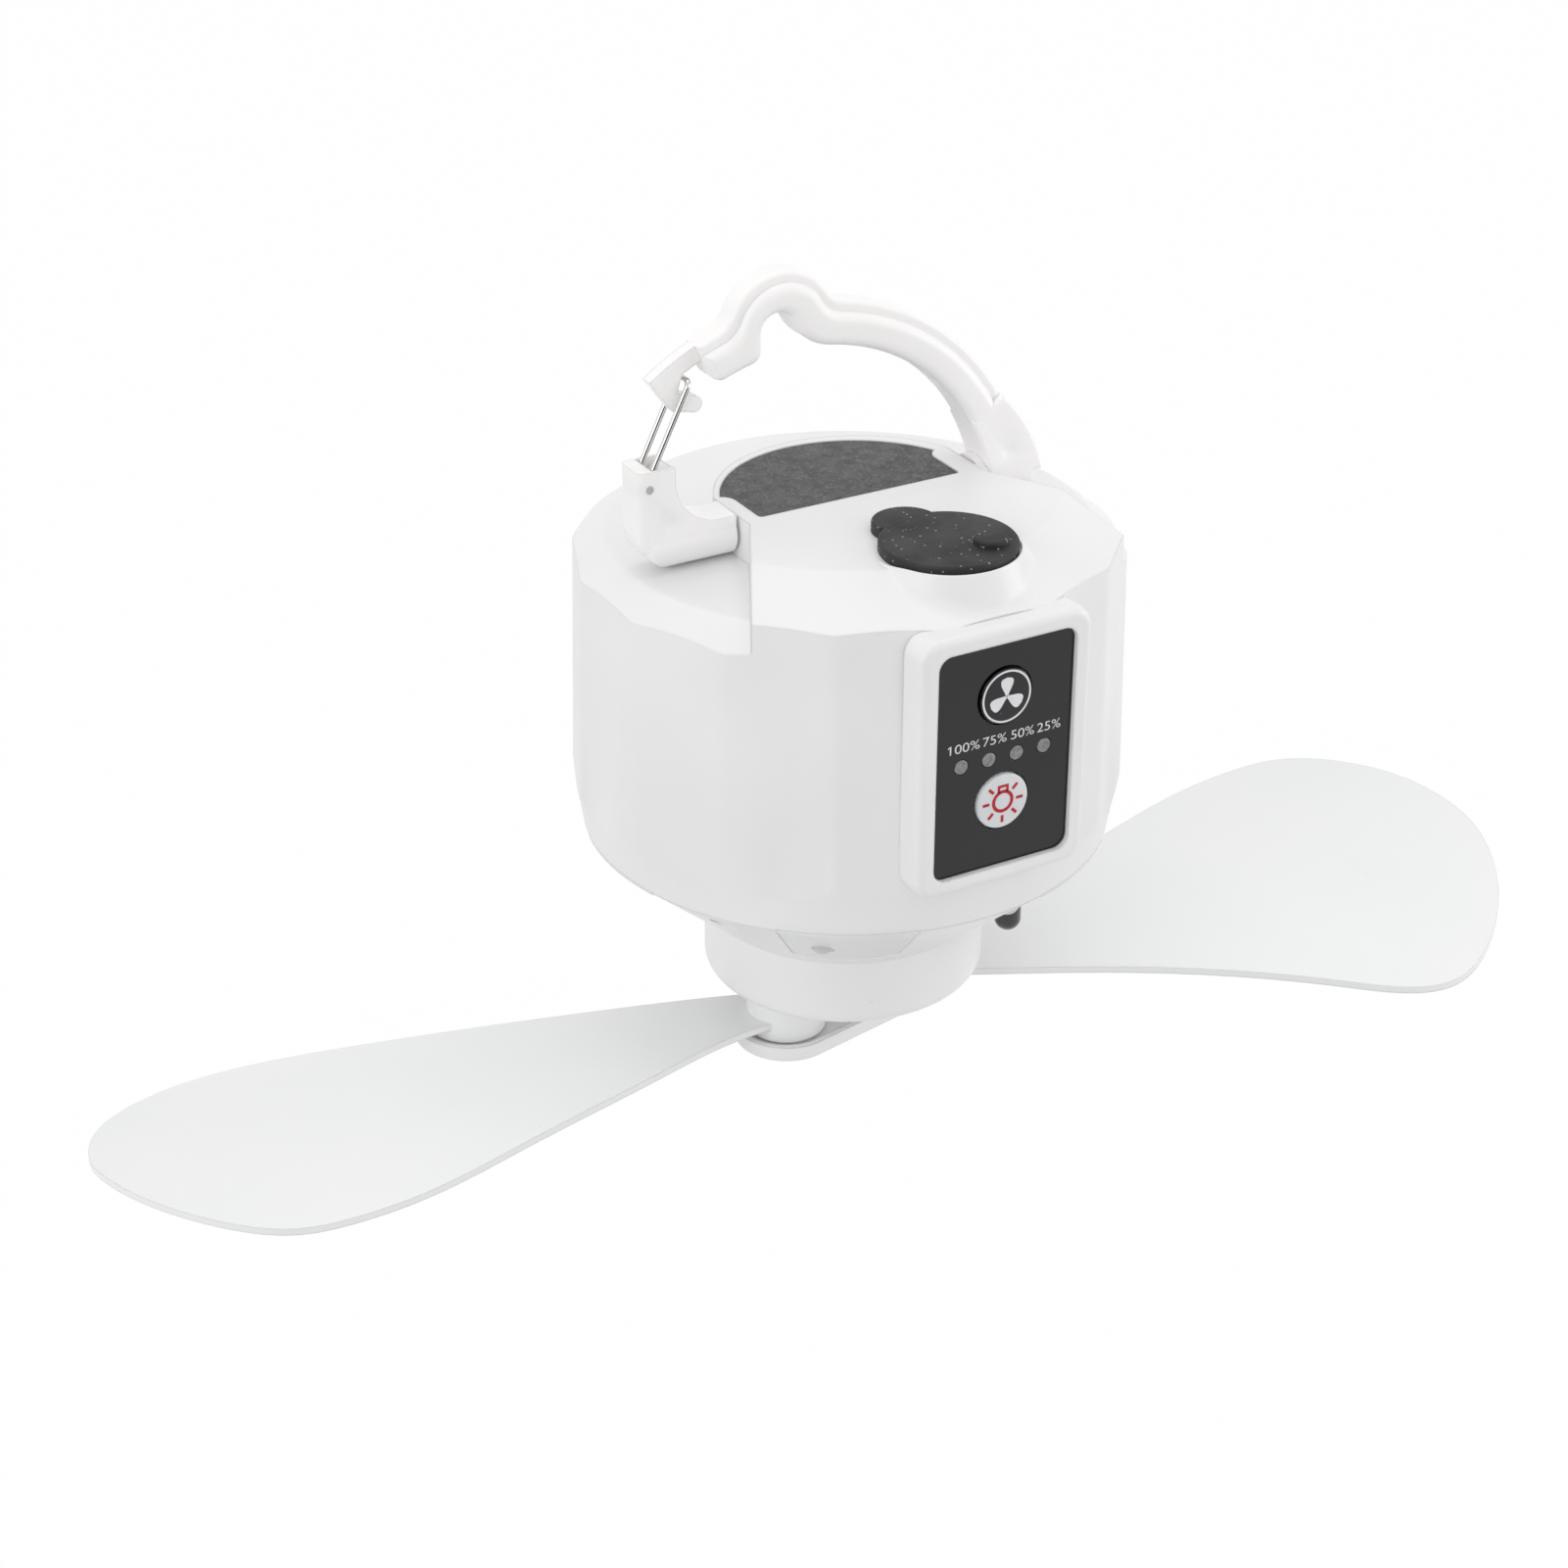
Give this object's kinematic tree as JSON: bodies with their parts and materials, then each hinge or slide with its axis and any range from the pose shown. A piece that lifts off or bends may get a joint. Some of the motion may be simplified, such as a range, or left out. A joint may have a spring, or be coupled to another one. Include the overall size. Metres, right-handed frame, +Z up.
{
  "type": "rechargeable ceiling fan",
  "caption": "Portable hanging fan with a lamp: faceted white drum with a black control panel, a folding carabiner handle on top and folding blades on a motor hub below.",
  "frame": {"origin": "top of the notch in the folding handle, where a hook carries it", "axes": "+Z up along the drum's axis, the control panel faces -Y, the blades lie along X as they stand"},
  "size_m": [0.32, 0.1118, 0.1726],
  "materials": {
    "shell": "satin moulded white",
    "handle": "milky, slightly translucent",
    "panel": "gloss black",
    "button_white": "white cap",
    "circuit_board": "green lacquer",
    "switch": "black body",
    "socket_metal": "bright shell",
    "rubber": "soft black, lightly speckled",
    "plate": "dark grey, lightly speckled",
    "steel": "bright",
    "wire": "polished wire",
    "tray": "natural white",
    "cell_wrap": "shrink wrap",
    "motor_case": "pressed can",
    "receiver": "dark dome",
    "indicator": "cloudy grey lens",
    "window": "milky diffuser",
    "lamp": "clear dome"
  },
  "bodies": {
    "housing": {"battery_cell_back": "cell_wrap", "battery_cell_front": "cell_wrap", "battery_tray": "tray", "blank_plate": "plate", "charge_board": "circuit_board", "control_board": "circuit_board", "control_panel": "panel", "fan_switch": "switch", "housing_screw_1": "steel", "housing_screw_2": "steel", "housing_screw_3": "steel", "indicator_1": "indicator", "indicator_2": "indicator", "indicator_3": "indicator", "indicator_4": "indicator", "ir_receiver": "receiver", "lamp_1": "lamp", "lamp_2": "lamp", "lamp_3": "lamp", "lamp_4": "lamp", "lamp_5": "lamp", "lamp_6": "lamp", "lamp_board": "circuit_board", "light_switch": "switch", "lower_shell": "shell", "motor_can": "motor_case", "motor_cap": "tray", "motor_screw_1": "steel", "motor_screw_2": "steel", "port_cover_anchor": "rubber", "port_cup": "shell", "upper_shell": "shell", "usb_socket": "socket_metal", "window_1": "window", "window_2": "window", "window_3": "window", "window_4": "window", "window_5": "window", "window_6": "window"},
    "handle": {"handle": "handle", "handle_foot": "handle", "hinge_pin": "steel", "gate_pin": "steel"},
    "gate": {"gate_wire": "wire"},
    "rotor": {"motor_shaft": "steel", "hub": "shell", "pivot_pin_a": "steel", "pivot_pin_b": "steel", "pivot_washer_a": "steel", "pivot_washer_b": "steel"},
    "blade_a": {"blade_a": "shell"},
    "blade_b": {"blade_b": "shell"},
    "fan_button": {"fan_button": "panel"},
    "light_button": {"light_button": "button_white"},
    "port_cover": {"port_cover": "rubber"}
  },
  "joints": [
    {"name": "rotor_spin", "type": "hinge", "parent": "housing", "child": "rotor", "pos_m": [0.0179, 0, -0.1452], "axis": [0, 0, 1], "continuous": true},
    {"name": "blade_a_fold", "type": "hinge", "parent": "rotor", "child": "blade_a", "pos_m": [0.00245, -0.00329, -0.1509], "axis": [0, 0, 1], "range_deg": [-71.2, 0]},
    {"name": "blade_b_fold", "type": "hinge", "parent": "rotor", "child": "blade_b", "pos_m": [0.03336, 0.00329, -0.1509], "axis": [0, 0, 1], "range_deg": [0, 108.8]},
    {"name": "handle_fold", "type": "hinge", "parent": "housing", "child": "handle", "pos_m": [0.0179, 0, -0.0427], "axis": [-1, 0, 0], "range_deg": [0, 90]},
    {"name": "gate_open", "type": "hinge", "parent": "handle", "child": "gate", "pos_m": [-0.0277, 0, -0.0295], "axis": [0, 1, 0], "range_deg": [0, 26], "stiffness_Nm_per_rad": 0.02},
    {"name": "fan_button_press", "type": "slide", "parent": "housing", "child": "fan_button", "axis": [0, 1, 0], "range_m": [0, 0.0007], "stiffness_N_per_m": 800},
    {"name": "light_button_press", "type": "slide", "parent": "housing", "child": "light_button", "axis": [0, 1, 0], "range_m": [0, 0.0007], "stiffness_N_per_m": 800},
    {"name": "port_cover_open", "type": "hinge", "parent": "housing", "child": "port_cover", "pos_m": [0.01563, -0.02473, -0.0367], "axis": [-0.9799, -0.1994, 0], "range_deg": [0, 105]}
  ]
}
